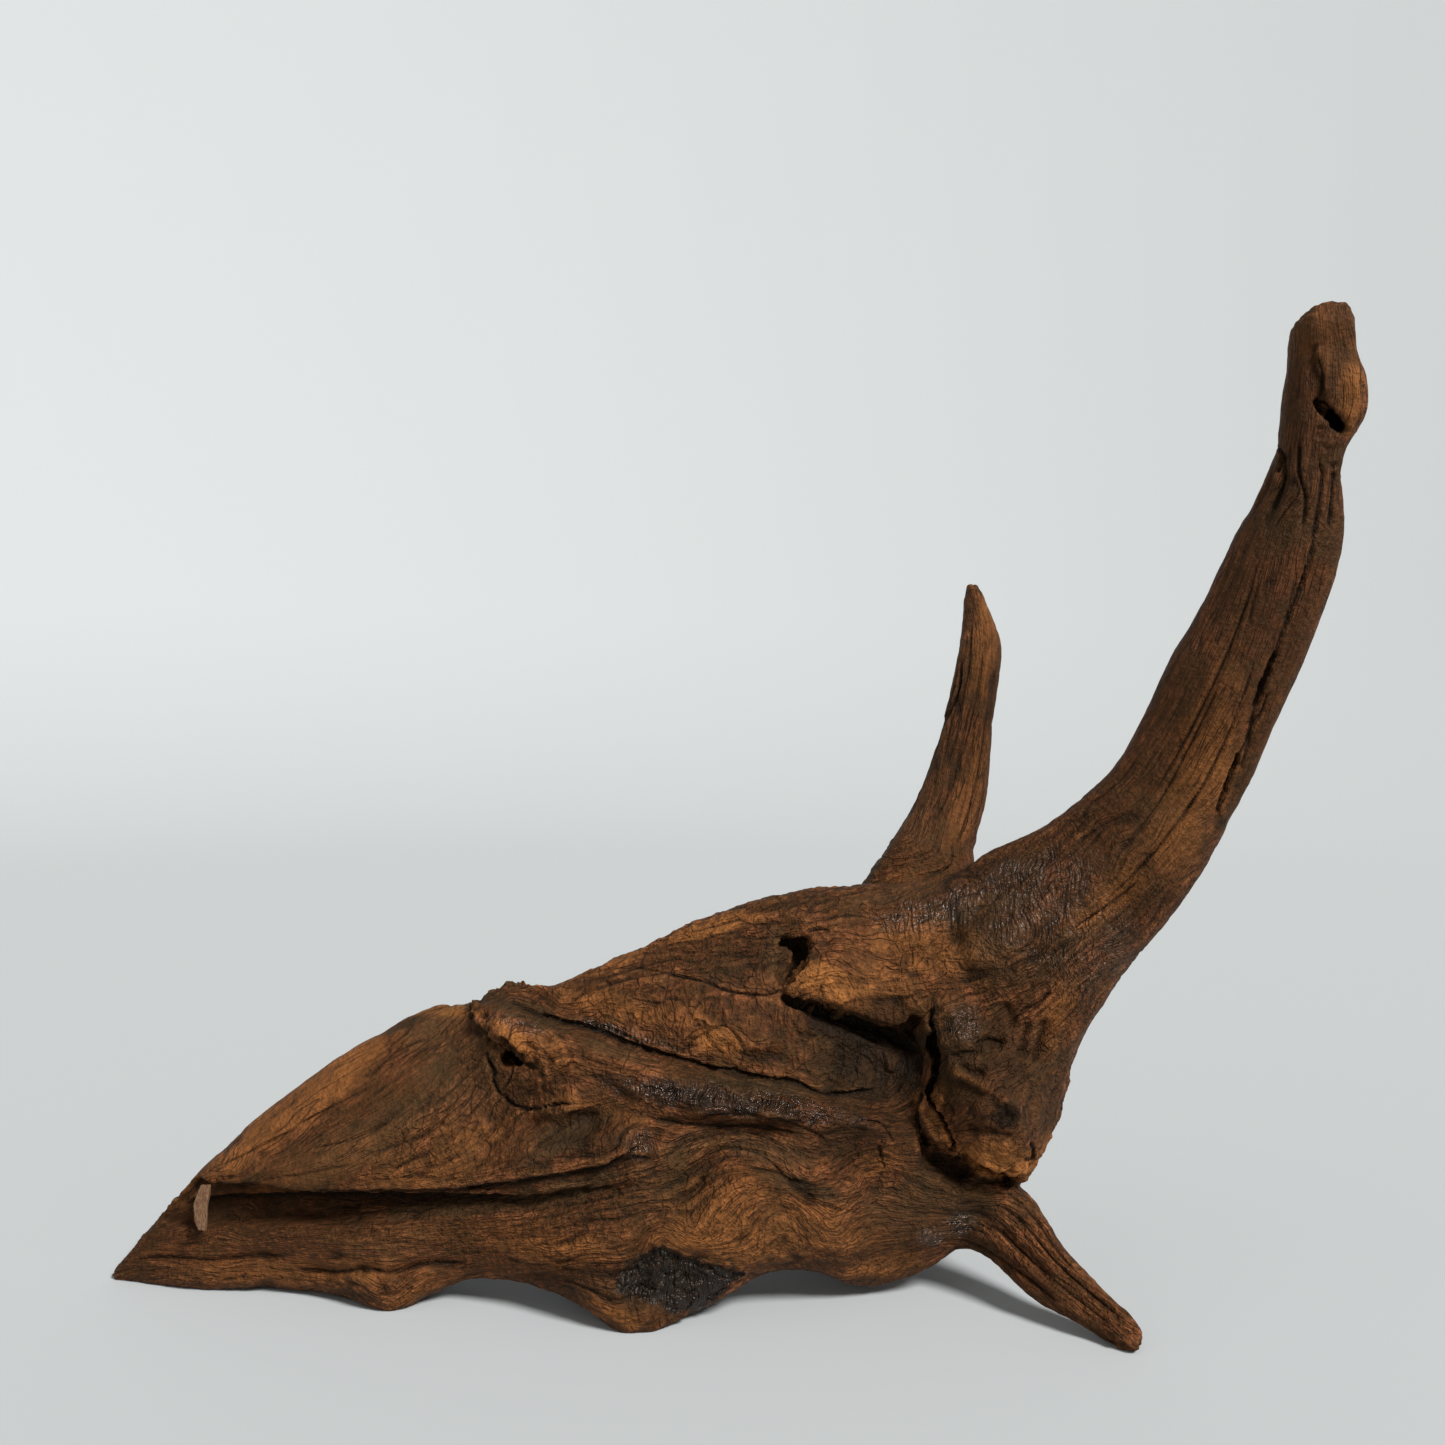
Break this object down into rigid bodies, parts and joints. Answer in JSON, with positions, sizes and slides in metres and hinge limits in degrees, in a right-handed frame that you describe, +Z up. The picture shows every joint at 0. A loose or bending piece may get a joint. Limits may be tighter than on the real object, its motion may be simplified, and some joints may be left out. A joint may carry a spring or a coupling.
{
  "type": "driftwood",
  "caption": "Branching driftwood root that lies on a surface, with a long flared stump, a tall curved limb, a short rear limb and a thin front root.",
  "frame": {"origin": "centre of the bounding box in plan, on the surface that the piece rests on", "axes": "+X along the length from the left tip to the tall limb, +Y to the back, +Z up"},
  "size_m": [0.4759, 0.1507, 0.3829],
  "materials": {
    "root_wood": "weathered reddish brown root wood, fibrous, with dark cracks and a few dense glossy patches",
    "limb_wood": "weathered brown limb wood with lengthwise grain, dull",
    "chip_wood": "pale dry splinter, dull"
  },
  "bodies": {
    "root": {"stump": "root_wood", "tall_limb": "limb_wood", "rear_limb": "limb_wood", "front_root": "root_wood", "splinter": "chip_wood"}
  },
  "joints": []
}
